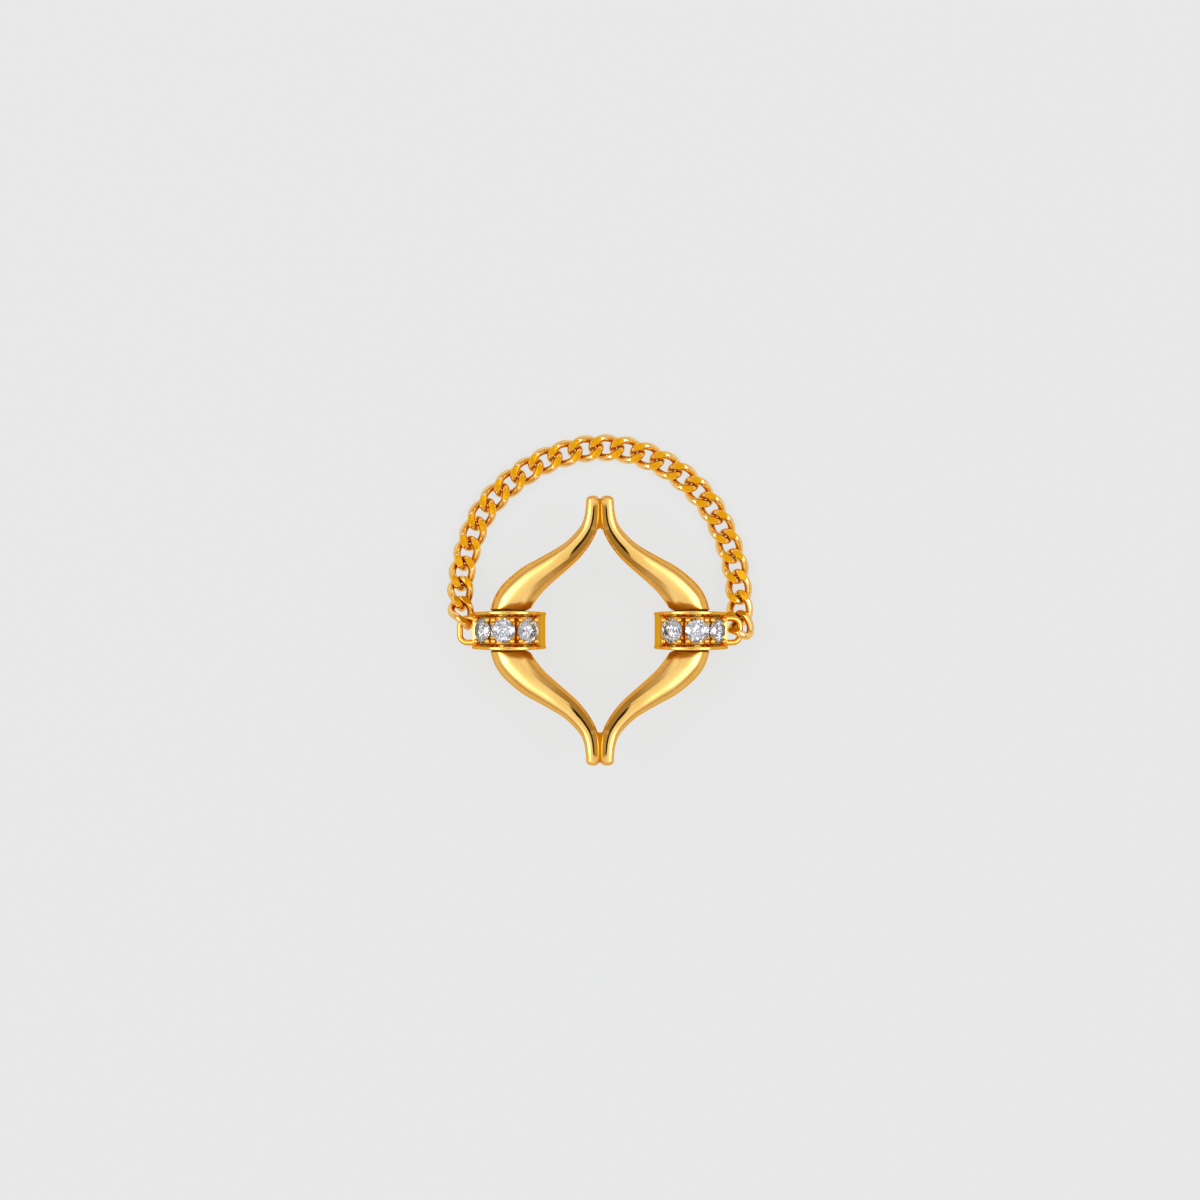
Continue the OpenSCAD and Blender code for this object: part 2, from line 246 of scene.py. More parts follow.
# The grey base colour is painted shade: it dims the stones for the dark surroundings that real ones
# mirror.
stone_shader.inputs["Base Color"].default_value = linear("#B2B0AD")
stone_shader.inputs["Roughness"].default_value = 0.0
stone_shader.inputs["IOR"].default_value = DIAMOND_IOR
stone_shader.inputs["Transmission Weight"].default_value = 1.0
stone_place = add_node(stone_tree, "ShaderNodeTexCoord").outputs["Object"]
cell_inputs = {"Vector": stone_place, "Scale": 1 / FACET_SIZE}
cells = add_node(stone_tree, "ShaderNodeTexVoronoi", cell_inputs).outputs["Color"]
lean_inputs = {0: cells, 1: CELL_MIDDLE}
leans = add_node(stone_tree, "ShaderNodeVectorMath", lean_inputs, operation="SUBTRACT")
true_normal = add_node(stone_tree, "ShaderNodeNewGeometry").outputs["Normal"]
tilt_inputs = {0: leans.outputs["Vector"], 1: (FACET_TILT,) * 3, 2: true_normal}
tilted = add_node(stone_tree, "ShaderNodeVectorMath", tilt_inputs, operation="MULTIPLY_ADD")
even_inputs = {0: tilted.outputs["Vector"]}
facet_normal = add_node(stone_tree, "ShaderNodeVectorMath", even_inputs, operation="NORMALIZE")
stone_tree.links.new(facet_normal.outputs["Vector"], stone_shader.inputs["Normal"])
for name in STONE_NODES:
    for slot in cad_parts[name].material_slots:
        slot.material = diamond
print("stones:", len(STONE_NODES))

# %% [markdown]
# Every piece ends in the same way: doubles are merged, the normals turned outward, the mesh scaled to
# metres and shaded smooth except at real edges. Then the piece is hung on the body it rides on, and the
# plain solids of the model that it stands for are hidden.

# %% Finish a piece
MERGE_DISTANCE = 0.0005


def finish_piece(bm, name, materials, nodes, edge_angle):
    bmesh.ops.remove_doubles(bm, verts=bm.verts, dist=MERGE_DISTANCE)
    bmesh.ops.recalc_face_normals(bm, faces=bm.faces)
    bmesh.ops.scale(bm, vec=(MM, MM, MM), verts=bm.verts)
    mesh = bpy.data.meshes.new(name)
    bm.to_mesh(mesh)
    bm.free()
    mesh.shade_smooth()
    mesh.set_sharp_from_angle(angle=math.radians(edge_angle))
    for material in materials:
        mesh.materials.append(material)
    piece = bpy.data.objects.new(name, mesh)
    scene.collection.objects.link(piece)
    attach(piece, "root")
    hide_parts(*nodes)
    return piece


# %% [markdown]
# Arms, links and staples are all drawn or bent bars, so one helper carries a circle along a
# path, as a die draws a wire. A place is a 4 by 4 matrix that says where the circle is and
# how wide it is each way. Extruding the last ring and moving it to the next place keeps the
# rings' points in line, and the end is capped, or bridged to the start on a closed link.


# %% Draw a bar
def place_of(point, along, out, half_out, half_up):
    """A circle's place: its centre, its axis, and half its size along out and across it."""
    along = Vector(along).normalized()
    out = Vector(out)
    out = (out - out.dot(along) * along).normalized()
    up = along.cross(out)
    turn = Matrix((out * half_out, up * half_up, along)).transposed().to_4x4()
    return Matrix.Translation(point) @ turn


def sweep(bm, places, sides, closed=False):
    """Carries a circle through the places and returns the rings of points."""
    start = bmesh.ops.create_circle(bm, cap_ends=False, segments=sides, radius=1.0, matrix=places[0])
    first_ring = list(dict.fromkeys(edge for vert in start["verts"] for edge in vert.link_edges))
    ring = first_ring
    rings = [start["verts"]]
    for before, here in zip(places, places[1:]):
        grown = bmesh.ops.extrude_edge_only(bm, edges=ring)["geom"]
        points = [item for item in grown if isinstance(item, bmesh.types.BMVert)]
        edges = [item for item in grown if isinstance(item, bmesh.types.BMEdge)]
        ring = [edge for edge in edges if all(vert in points for vert in edge.verts)]
        bmesh.ops.transform(bm, matrix=here @ before.inverted(), verts=points)
        rings.append(points)
    if closed:
        bmesh.ops.bridge_loops(bm, edges=first_ring + ring)
    else:
        for end in (first_ring, ring):
            bmesh.ops.contextual_create(bm, geom=end)
    return rings


# %% [markdown]
# Each arm is a horn: square and thick beside its collar, curling in and thinning to a round
# tip. It could be carved from a block, but a maker casts it as a bar and bends it, and so
# does this step. A table gives the middle line of one arm, and a smooth curve runs through
# its rows. The line climbs toward the point, because the face is arched over the finger.

# %% Middle line of an arm
ARM_ROWS = [  # x, y, width, z
    (6.32, 1.42, 2.73, 2.60),
    (6.06, 2.05, 2.66, 2.72),
    (5.55, 2.73, 2.50, 2.91),
    (4.75, 3.52, 2.25, 3.18),
    (3.83, 4.19, 1.96, 3.46),
    (2.90, 4.84, 1.72, 3.71),
    (2.05, 5.49, 1.52, 3.87),
    (1.35, 6.23, 1.36, 3.95),
    (0.83, 7.00, 1.21, 4.02),
    (0.58, 7.75, 1.09, 4.08),
    (0.50, 8.55, 0.99, 4.10),
    (0.49, 9.12, 0.95, 4.05),
]
STEPS_PER_ROW = 8


def curve_through(a, b, c, d, t):
    """A smooth curve through four rows, between the second and the third."""
    return [
        0.5
        * (
            2 * q
            + (r - p) * t
            + (2 * p - 5 * q + 4 * r - s) * t * t
            + (3 * q - p - 3 * r + s) * t**3
        )
        for p, q, r, s in zip(a, b, c, d)
    ]


arm_line = []
last_row = len(ARM_ROWS) - 1
for i in range(last_row):
    rows = [ARM_ROWS[max(i - 1, 0)], ARM_ROWS[i], ARM_ROWS[i + 1], ARM_ROWS[min(i + 2, last_row)]]
    arm_line += [curve_through(*rows, step / STEPS_PER_ROW) for step in range(STEPS_PER_ROW)]
arm_line.append(list(ARM_ROWS[-1]))
print("points on an arm's middle line:", len(arm_line))

# %% [markdown]
# An arm's section is an oval, but the hands that finished it left more shape than that. The
# outer shoulder is squared off, and the crest lies nearer the inner side. From 1 mm on a
# ridge grows along the crest, because the inner flank was planed flat on a lap, and a
# steeper narrow band runs along that flank's foot. Beside the collar the buff ran into the
# corner, so the top dips there. All this is worked out on a circle of radius 1, which the
# sweep then stretches, so it keeps its proportions as the arm thins.

# %% Section of an arm
ARM_END_Y = 1.42
SHOULDER = 3.2
CREST_SHIFT = 0.24
RIDGE_FROM, RIDGE_RAMP = 1.0, 3.4
INNER_SLOPE = 0.68
EDGE_AT, EDGE_SLOPE = 0.75, 0.975
END_DIP, DIP_LENGTH = 0.085, 0.75


def share(value):
    """Keeps a share between none, 0, and all, 1."""
    return min(1.0, max(0.0, value))


def ridge_at(y):
    """How far the inner flank is planed: not at all by the collar, fully from 4.4 mm on."""
    rise = share((y - RIDGE_FROM) / RIDGE_RAMP)
    return rise * rise * (3 - 2 * rise)


def dip_at(y):
    """How far the top sinks beside the collar."""
    near = max(0.0, 1 - (y - ARM_END_Y) / DIP_LENGTH)
    return END_DIP * near * near


def shape_section(point, ridge, dip):
    """Moves one point of a round section to its place on the finished one."""
    if point.x > 0 and point.y > 0:
        square = (point.x**SHOULDER + point.y**SHOULDER) ** (-1 / SHOULDER)
        point.x *= square
        point.y *= square
    point.x -= CREST_SHIFT * share(point.y) ** 2
    flank = 1 - (-CREST_SHIFT - point.x) * INNER_SLOPE
    flank -= max(0.0, -EDGE_AT - point.x) * (EDGE_SLOPE - INNER_SLOPE)
    if point.y > 0 and point.x < -CREST_SHIFT and point.y > flank:
        point.y += ridge * (flank - point.y)
    if point.y > 0:
        point.y *= 1 - dip


# %% [markdown]
# The polish isn't even. Near the points the narrow rod meets the buff squarely and takes a
# crisp mirror finish along the ridge and inside it. The wide bodies and the outer shoulder
# stay satin. So each point of the mesh keeps a number, satin, and the gold reads it.

# %% Satin on the arms
CRISP_FROM, CRISP_RAMP = 4.3, 0.8
CRISP_TO, TIP_RAMP = 8.9, 0.3
CRISP_SIDE, SIDE_RAMP = 0.4, 0.3


def satin_at(x, y):
    """0 where the polish is crisp and 1 where it is soft."""
    along = share((y - CRISP_FROM) / CRISP_RAMP) * share((CRISP_TO - y) / TIP_RAMP)
    across = share((CRISP_SIDE - x) / SIDE_RAMP)
    return 1 - along * across


# %% [markdown]
# The stations are the places that the section passes. At the collar the arm starts with a
# small rounded edge, so the first few grow by a quarter circle. Along the line a section
# leans with the curve, but it can't lean so far that its corner goes into the collar. At
# the tip a last quarter of an oval closes the rod to a dome.

# %% Stations along an arm
ARM_TIP_Y = 9.42
ARM_ROUND = 0.94
END_ROUNDING = 0.1
END_LEAN = 0.9
END_ANGLES = (0, 22, 45, 67, 90)
TIP_ANGLES = (15, 30, 45, 60, 72, 82, 88)


def arm_place(x, y, z, lean, half):
    back = (math.sin(lean), -math.cos(lean), 0)
    out = (math.cos(lean), math.sin(lean), 0)
    return place_of((x, y, z), back, out, half, half * ARM_ROUND)


stations = []
half_end = ARM_ROWS[0][2] / 2
for angle in END_ANGLES:
    t = math.radians(angle)
    y = ARM_END_Y + END_ROUNDING * (1 - math.cos(t))
    stations.append((ARM_ROWS[0][0], y, PLATE_Z, 0.0, half_end - END_ROUNDING * (1 - math.sin(t))))
for before, here, after in zip(arm_line, arm_line[1:], arm_line[2:] + [arm_line[-1]]):
    x, y, width, z = here
    past_end = y - ARM_END_Y - END_ROUNDING
    lean = math.atan2(before[0] - after[0], after[1] - before[1])
    most = math.asin(share(END_LEAN * past_end / (width / 2)))
    if y > ARM_END_Y + END_ROUNDING:
        stations.append((x, y, z, min(lean, most), width / 2))
tip_x, tip_y, tip_width, tip_z = ARM_ROWS[-1]
for angle in TIP_ANGLES:
    t = math.radians(angle)
    y = tip_y + (ARM_TIP_Y - tip_y) * math.sin(t)
    stations.append((tip_x, y, tip_z, 0.0, tip_width / 2 * math.cos(t)))
print("stations along an arm:", len(stations))

# %% [markdown]
# One arm is swept and shaped, and mirrored to the lower half. A plain round neck joins the two through
# the collar and shows only as a dark line beside it, in the gap, where its dark tint is painted shade.
# These three are one casting, and its mirror image is the other side of the ring.

# %% Sweep and mirror the arms
ARM_SIDES = 80
SOLDER_SLOT, JOINT_SLOT = 1, 2
COLLAR_X = 6.37
NECK_RADIUS = 1.2
NECK_SIDES = 64
NECK_OVERLAP = 0.02


def mirror_across(bm, axis):
    bmesh.ops.mirror(bm, geom=bm.verts[:] + bm.edges[:] + bm.faces[:], axis=axis, merge_dist=0.0)


plate = bmesh.new()
satin = plate.verts.layers.float.new("satin")
arm_places = [arm_place(*station) for station in stations]
arm_rings = sweep(plate, arm_places, ARM_SIDES)
for place, station, ring in zip(arm_places, stations, arm_rings):
    flat_place = place.inverted()
    along = station[1]
    for vert in ring:
        point = flat_place @ vert.co
        shape_section(point, ridge_at(along), dip_at(along))
        vert[satin] = satin_at(point.x, along)
        vert.co = place @ point
mirror_across(plate, "Y")
neck = bmesh.ops.create_cone(
    plate,
    cap_ends=True,
    segments=NECK_SIDES,
    radius1=NECK_RADIUS,
    radius2=NECK_RADIUS,
    depth=2 * ARM_END_Y + NECK_OVERLAP,
    matrix=Matrix.Translation((COLLAR_X, 0, PLATE_Z)) @ Matrix.Rotation(math.pi / 2, 4, "X"),
)
# The neck takes the dark tint, painted shade for the gap.
for face in {face for vert in neck["verts"] for face in vert.link_faces}:
    face.material_index = JOINT_SLOT
mirror_across(plate, "X")
print("points on the arms:", len(plate.verts))

# %% [markdown]
# The tips are soldered at each point of the lozenge. The solder fills the groove between two
# rods as a small bar below their round tops, and its inner end sinks in a hollow, as a
# liquid does between two walls. A bar from a cube will do, cut across so that both its ends
# can curve.

# %% Solder at the points
WEB_FROM, WEB_TO = 6.92, 9.2
WEB_WIDTH = 0.6
WEB_HEIGHT = 0.6
WEB_Z = 4.06
WEB_HOLLOW = 0.2
WEB_CUTS = 9
TOLERANCE = 0.01
for side in (-1, 1):
    web_place = Matrix.Translation((0, side * (WEB_FROM + WEB_TO) / 2, WEB_Z))
    web_size = Matrix.Diagonal((WEB_WIDTH, WEB_TO - WEB_FROM, WEB_HEIGHT, 1))
    bar = bmesh.ops.create_cube(plate, size=1.0, matrix=web_place @ web_size)
    faces = list(dict.fromkeys(face for vert in bar["verts"] for face in vert.link_faces))
    for face in faces:
        face.material_index = SOLDER_SLOT
    edges = dict.fromkeys(edge for face in faces for edge in face.edges)
    across = [edge for edge in edges if abs(edge.verts[0].co.x - edge.verts[1].co.x) > WEB_WIDTH / 2]
    bmesh.ops.subdivide_edges(plate, edges=across, cuts=WEB_CUTS)
for vert in plate.verts:
    on_solder = vert.link_faces[0].material_index == SOLDER_SLOT
    if on_solder and abs(abs(vert.co.y) - WEB_FROM) < TOLERANCE:
        hollow = WEB_HOLLOW * (1 - (2 * vert.co.x / WEB_WIDTH) ** 2)
        vert.co.y += math.copysign(hollow, vert.co.y)
print("solder faces:", sum(face.material_index == SOLDER_SLOT for face in plate.faces))

# %% [markdown]
# The plate is finished with sharp edges where two faces meet at more than 30 degrees, so the
# ridge shows as a crisp line near the points. Between 1.7 mm and 5.1 mm from the middle the
# buff has rolled over it, so the edges there are made smooth again.

# %% Finish the plate
PLATE_EDGE_ANGLE = 30
SOFT_FROM, SOFT_TO = 1.7, 5.1
plate_finishes = [arm_gold, solder, painted_shade_joint]
plate_piece = finish_piece(
    plate, "lozenge_plate", plate_finishes, ["frame"], PLATE_EDGE_ANGLE
)
plate_mesh = plate_piece.data
for edge in plate_mesh.edges:
    if SOFT_FROM * MM < abs(plate_mesh.vertices[edge.vertices[0]].co.y) < SOFT_TO * MM:
        edge.use_edge_sharp = False
print("plate faces:", len(plate_mesh.polygons))

# %% [markdown]
# A collar is a short sleeve with raised rims, and a channel between them holds the stones.
# It is turned on a lathe in real life, and one closed spin would do for a plain one. Here
# the channel stops at an end wall toward the middle of the ring and the back of the sleeve
# has none, so the section is set round the axis at each angle with its own floor, and the
# rings are bridged. The sleeve is narrower at the bottom.

# %% Collar sleeve
COLLAR_RADIUS = 2.6
COLLAR_WIDTH_TOP = 2.73
COLLAR_WIDTH_BOTTOM = 2.33
BORE_RADIUS = 1.27
CHANNEL_WIDTH = 2.27
CHANNEL_FLOOR = 2.3
CHANNEL_FROM, CHANNEL_TO = -76.0, 56.0
WALL_FOOT_WIDTH = 1.92
WALL_STEP = 4.5
RIM_ROUNDING = 0.05
RIM_CORNER = 0.3
FLOOR_LIP = 0.02
FLOOR_FLAT = 0.9
COLLAR_STEPS = 48


def turn_about_collar(angle):
    """Angle 0 faces up and positive angles lean toward the ring's centre."""
    return Matrix.Rotation(math.radians(angle), 4, "Y")


def collar_section(bm, angle, floor):
    """The sleeve's section at one angle: bore, side, rim, channel wall, floor and back."""
    half = COLLAR_WIDTH_TOP / 2
    edge, foot = CHANNEL_WIDTH / 2, WALL_FOOT_WIDTH / 2
    r = COLLAR_RADIUS
    k = RIM_ROUNDING
    side = [
        (half, BORE_RADIUS),
        (half, r - k),
        (half - RIM_CORNER * k, r - RIM_CORNER * k),
        (half - k, r),
        (edge + k, r),
        (edge + RIM_CORNER * k, r - RIM_CORNER * k),
        (edge, r - k),
        (foot, floor + FLOOR_LIP),
        (foot * FLOOR_FLAT, floor),
    ]
    points = side + [(-y, z) for y, z in reversed(side)]
    verts = [bm.verts.new((0, y, z)) for y, z in points]
    edges = [bm.edges.new((a, b)) for a, b in zip(verts, verts[1:] + verts[:1])]
    bmesh.ops.transform(bm, matrix=turn_about_collar(angle), verts=verts)
    return edges


def collar_body(bm):
    channel = CHANNEL_TO - CHANNEL_FROM
    back = 360 - channel - 2 * WALL_STEP
    back_from = CHANNEL_TO + WALL_STEP
    level = COLLAR_RADIUS - RIM_ROUNDING
    steps = range(COLLAR_STEPS + 1)
    stops = [(CHANNEL_FROM + channel * i / COLLAR_STEPS, CHANNEL_FLOOR) for i in steps]
    stops += [(back_from + back * i / COLLAR_STEPS, level) for i in steps]
    rings = [collar_section(bm, *stop) for stop in stops]
    for ring, following in zip(rings, rings[1:] + rings[:1]):
        bmesh.ops.bridge_loops(bm, edges=ring + following)
    for vert in bm.verts:
        depth = (COLLAR_RADIUS - vert.co.z) / (2 * COLLAR_RADIUS)
        vert.co.y *= 1 - depth * (1 - COLLAR_WIDTH_BOTTOM / COLLAR_WIDTH_TOP)


# %% [markdown]
# The seats are drilled for the stones. A graver then raises grains of metal at the corners of
# each seat and rounds them to beads that hold the stone's edge. Some of the real beads are
# clusters of smaller cuts, too small to read, so each is one round bead here. The graver's
# last cut is a fine V across the channel. Seats and V are cut with real cutters: cones and a
# slim bar taken away from the sleeve.

# %% Seats, beads and the V-cut
STONE_ANGLES = (-53.0, -10.0, 36.5)
STONE_RADIUS = 0.88
GIRDLE_AT = 2.309
SEAT_DEPTH = 0.85
SEAT_POINT = 0.04
SEAT_ROOM = 0.03
SEAT_MOUTH = 0.05
SEAT_OPENING = 0.6
SEAT_SIDES = 48
BEAD_RADIUS = 0.2
BEAD_AT = 2.45
BEAD_OFF = 16.0
BEAD_Y = 0.74
BEAD_FINENESS = 3
CUT_ANGLE = (STONE_ANGLES[1] + STONE_ANGLES[2]) / 2
CUT_WIDTH = 0.11
CUT_BOTTOM = 2.1
CUT_SHARE = 0.95


def seat_cutters(bm):
    ledge = GIRDLE_AT + SEAT_ROOM
    hole = STONE_RADIUS + SEAT_ROOM
    cones = (
        (GIRDLE_AT - SEAT_DEPTH, ledge, SEAT_POINT, hole),
        (ledge, GIRDLE_AT + SEAT_OPENING, hole, STONE_RADIUS + SEAT_MOUTH),
    )
    for angle in STONE_ANGLES:
        for low, high, r1, r2 in cones:
            place = turn_about_collar(angle) @ Matrix.Translation((0, 0, (low + high) / 2))
            bmesh.ops.create_cone(
                bm,
                cap_ends=True,
                segments=SEAT_SIDES,
                radius1=r1,
                radius2=r2,
                depth=high - low,
                matrix=place,
            )


def beads(bm):
    for angle in STONE_ANGLES:
        for off in (-BEAD_OFF, BEAD_OFF):
            for y in (-BEAD_Y, BEAD_Y):
                place = turn_about_collar(angle + off) @ Matrix.Translation((0, y, BEAD_AT))
                bmesh.ops.create_icosphere(
                    bm, subdivisions=BEAD_FINENESS, radius=BEAD_RADIUS, matrix=place
                )


def graver_cut(bm):
    """A slim bar on its edge leaves a steep V between the channel's walls."""
    depth = CHANNEL_FLOOR - CUT_BOTTOM
    place = turn_about_collar(CUT_ANGLE) @ Matrix.Translation((0, 0, CHANNEL_FLOOR))
    width, length, height = CUT_WIDTH * math.sqrt(2), WALL_FOOT_WIDTH * CUT_SHARE, depth * math.sqrt(2)
    size = Matrix.Diagonal((width, length, height, 1))
    corner = Matrix.Rotation(math.radians(45), 4, "Y")
    bmesh.ops.create_cube(bm, size=1.0, matrix=place @ size @ corner)


# %% [markdown]
# A staple is a bent wire soldered to each collar's outer side, and the chain's end link
# hooks through it. Its path is a straight leg, a quarter turn, a bar, a quarter turn and a
# leg back, and the whole staple drops a little from the level.

# %% Staple
STAPLE_WIRE = 0.42
STAPLE_HALF = 0.85
STAPLE_REACH = 3.52
STAPLE_CORNER = 0.55
STAPLE_ROOT = 2.3
STAPLE_DROP = 12.0
STAPLE_BEND_STEPS = 8
STAPLE_SIDES = 24


def staple(bm):
    bend_x = STAPLE_REACH - STAPLE_CORNER
    bend_y = STAPLE_HALF - STAPLE_CORNER
    path = [((STAPLE_ROOT, STAPLE_HALF), (1, 0))]
    for i in range(STAPLE_BEND_STEPS + 1):
        t = math.radians(90 * i / STAPLE_BEND_STEPS)
        point = (bend_x + STAPLE_CORNER * math.sin(t), bend_y + STAPLE_CORNER * math.cos(t))
        path.append((point, (math.cos(t), -math.sin(t))))
    path += [((x, -y), (-dx, dy)) for (x, y), (dx, dy) in reversed(path)]
    drop = Matrix.Rotation(math.radians(180 - STAPLE_DROP), 4, "Y")
    up, half = (0, 0, 1), STAPLE_WIRE / 2
    places = [drop @ place_of((x, y, 0), (dx, dy, 0), up, half, half) for (x, y), (dx, dy) in path]
    sweep(bm, places, STAPLE_SIDES)


# %% [markdown]
# The cutters are taken away from the sleeve and the beads and staple are joined to it, with exact
# booleans that are applied for good. Then each face gets the finish of the tool that made it: the
# graver's on the channel's floor and end wall, the file's on the flat sides and in the V, both with
# darker tints as painted shade, and the bright cut on the rest.

# %% Cut and join
# The graver's and the file's finishes are darker tints that paint shade in the channel, the V and on
# the sides.
BRIGHT_CUT, GRAVER_CUT_WITH_SHADE, FILED_WITH_SHADE = 0, 1, 2
CHANNEL_INSIDE = 1.4
FLOOR_MARGIN = 0.03
CUT_REACH = 2.0
CUT_MARGIN = 0.02
FACES_SIDEWAYS = 0.95


def mesh_object(bm, name):
    mesh = bpy.data.meshes.new(name)
    bmesh.ops.recalc_face_normals(bm, faces=bm.faces)
    bm.to_mesh(mesh)
    bm.free()
    thing = bpy.data.objects.new(name, mesh)
    scene.collection.objects.link(thing)
    return thing


def with_boolean(target, cutter, operation):
    """Joins or cuts two solids for good and removes the cutter."""
    change = target.modifiers.new("cut", "BOOLEAN")
    change.operation = operation
    change.solver = "EXACT"
    change.use_self = True
    change.object = cutter
    depsgraph = bpy.context.evaluated_depsgraph_get()
    result = bpy.data.meshes.new_from_object(target.evaluated_get(depsgraph))
    target.modifiers.clear()
    target.data = result
    bpy.data.objects.remove(cutter)


def tool_of(face):
    """The finish of a collar's face, by where it lies and which way it faces. The channel, the V and
    the sides get darker tints, painted shade.
    """
    middle = face.calc_center_median()
    radius = math.hypot(middle.x, middle.z)
    angle = math.degrees(math.atan2(middle.x, middle.z))
    between_feet = abs(middle.y) < WALL_FOOT_WIDTH / 2
    between_walls = abs(middle.y) < CHANNEL_WIDTH / 2
    on_floor = CHANNEL_INSIDE < radius < CHANNEL_FLOOR + FLOOR_MARGIN and between_feet
    on_end_wall = radius > CHANNEL_FLOOR and between_walls and 0 < angle - CHANNEL_TO < WALL_STEP
    in_cut = on_floor and abs(angle - CUT_ANGLE) < CUT_REACH and radius < CHANNEL_FLOOR - CUT_MARGIN
    on_side = abs(face.normal.y) > FACES_SIDEWAYS and abs(middle.y) > CHANNEL_WIDTH / 2
    if in_cut or on_side:
        return FILED_WITH_SHADE
    return GRAVER_CUT_WITH_SHADE if on_floor or on_end_wall else BRIGHT_CUT


# %% [markdown]
# The two collars are mirror images. Each is modelled round its own axis as the left one and
# moved out to the thick middle of its side, and the right one is then mirrored across.

# %% Collars
COLLAR_EDGE_ANGLE = 32


def make_collar(side, name, node):
    body = bmesh.new()
    collar_body(body)
    sleeve = mesh_object(body, name + "_sleeve")
    steps = (
        (seat_cutters, "DIFFERENCE"),
        (graver_cut, "DIFFERENCE"),
        (beads, "UNION"),
        (staple, "UNION"),
    )
    for build, operation in steps:
        tool = bmesh.new()
        build(tool)
        with_boolean(sleeve, mesh_object(tool, "tool"), operation)
    bm = bmesh.new()
    bm.from_mesh(sleeve.data)
    bpy.data.objects.remove(sleeve)
    for face in bm.faces:
        face.material_index = tool_of(face)
    bmesh.ops.translate(bm, vec=(-COLLAR_X, 0, PLATE_Z), verts=bm.verts)
    bmesh.ops.scale(bm, vec=(-side, 1, 1), verts=bm.verts)
    finishes = [collar_gold, channel_gold_painted_shade, filed_gold_painted_shade]
    return finish_piece(bm, name, finishes, [node], COLLAR_EDGE_ANGLE)


for side, name, node in (
    (-1, "pave_collar_left", "left_collar"),
    (1, "pave_collar_right", "right_collar"),
):
    piece = make_collar(side, name, node)
    print(name, "faces:", len(piece.data.polygons))

# %% [markdown]
# The band is a curb chain. Each link is an oval of round wire, twisted so that it lies flat, and then
# the whole chain is shaved with a diamond tool above and below, which leaves two flats on each link.
# The wire is swept round a twisted oval, and the shaving is a real cut with two planes. Each point
# keeps a painted light number, which paints shade on the inner side of the link (0) and a highlight on
# the outer (1).

# %% One curb link
LINK_WIRE = 0.52
LINK_HALF_LENGTH = 1.03
LINK_HALF_WIDTH = 0.69
LINK_BULGE = 2.5
LINK_TWIST = 54.0
LINK_CUT_TOP, LINK_CUT_BOTTOM = 0.50, 0.47
LINK_RINGS = 56
LINK_NEAR = 0.02
WIRE_SIDES = 20
FLAT_SLOT = 1


def power(value, exponent):
    return math.copysign(abs(value) ** exponent, value)


def link_point(t):
    """A point of the wire's middle line, on an oval that is twisted along its length."""
    x = LINK_HALF_LENGTH * power(math.cos(t), 2 / LINK_BULGE)
    y = LINK_HALF_WIDTH * power(math.sin(t), 2 / LINK_BULGE)
    roll = math.radians(-LINK_TWIST * x)
    return Vector((x, y * math.cos(roll), y * math.sin(roll)))


def link_place(t):
    here = link_point(t)
    along = link_point(t + LINK_NEAR) - link_point(t - LINK_NEAR)
    roll = math.radians(-LINK_TWIST * here.x)
    y_part = math.sin(t) / LINK_HALF_WIDTH
    out = Vector((math.cos(t) / LINK_HALF_LENGTH, y_part * math.cos(roll), y_part * math.sin(roll)))
    return place_of(here, along, out, LINK_WIRE / 2, LINK_WIRE / 2)


def curb_link(bm):
    # This number paints shade on the inside of the link and a highlight on its outside.
    painted_light = bm.verts.layers.float.new("painted_light")
    places = [link_place(2 * math.pi * (i + 0.5) / LINK_RINGS) for i in range(LINK_RINGS)]
    for place, ring in zip(places, sweep(bm, places, WIRE_SIDES, closed=True)):
        for vert in ring:
            vert[painted_light] = (1 + (place.inverted() @ vert.co).x) / 2
    for height, way in ((LINK_CUT_TOP, 1), (-LINK_CUT_BOTTOM, -1)):
        bmesh.ops.bisect_plane(
            bm,
            geom=bm.verts[:] + bm.edges[:] + bm.faces[:],
            plane_co=(0, 0, height),
            plane_no=(0, 0, way),
            clear_outer=True,
        )
        rim = [edge for edge in bm.edges if edge.is_boundary]
        for face in bmesh.ops.holes_fill(bm, edges=rim, sides=0)["faces"]:
            face.material_index = FLAT_SLOT


# %% [markdown]
# The chain lies as it fell: from the left collar it drops to the table, sweeps over the top
# in an arc and climbs to the right collar. Each step from link to link has a heading, seen
# from above, and the first and last few also slope and roll. The walk starts at the first
# link, and the small error at the last link is shared out along the way. A link between two
# steps takes the mean of their headings and slopes.

# %% Lie of the chain
HEADINGS = [
    96, 86, 77, 72, 65, 53, 43, 36, 29, 20, 13, 3,
    -7, -17, -26, -35, -43, -52, -62, -68, -74, -81, -87, -89,
]
LEFT_SLOPES = [-19, -15, -11.5, -3.5]
RIGHT_SLOPES = [2.75, 3.5, 7.5, 29]
LEFT_ROLLS = [32, 22, 9, 7]
RIGHT_ROLLS = [4, 12, 14, 4]
LINK_STEP = 1.475
FIRST_LINK_AT = Vector((-9.66, 1.2, 1.745))
FIRST_LINK_TURN = (32, 22, 112)
LAST_LINK_AT = Vector((9.833, 0.31, 1.572))
LAST_LINK_TURN = (5, -50, -73)

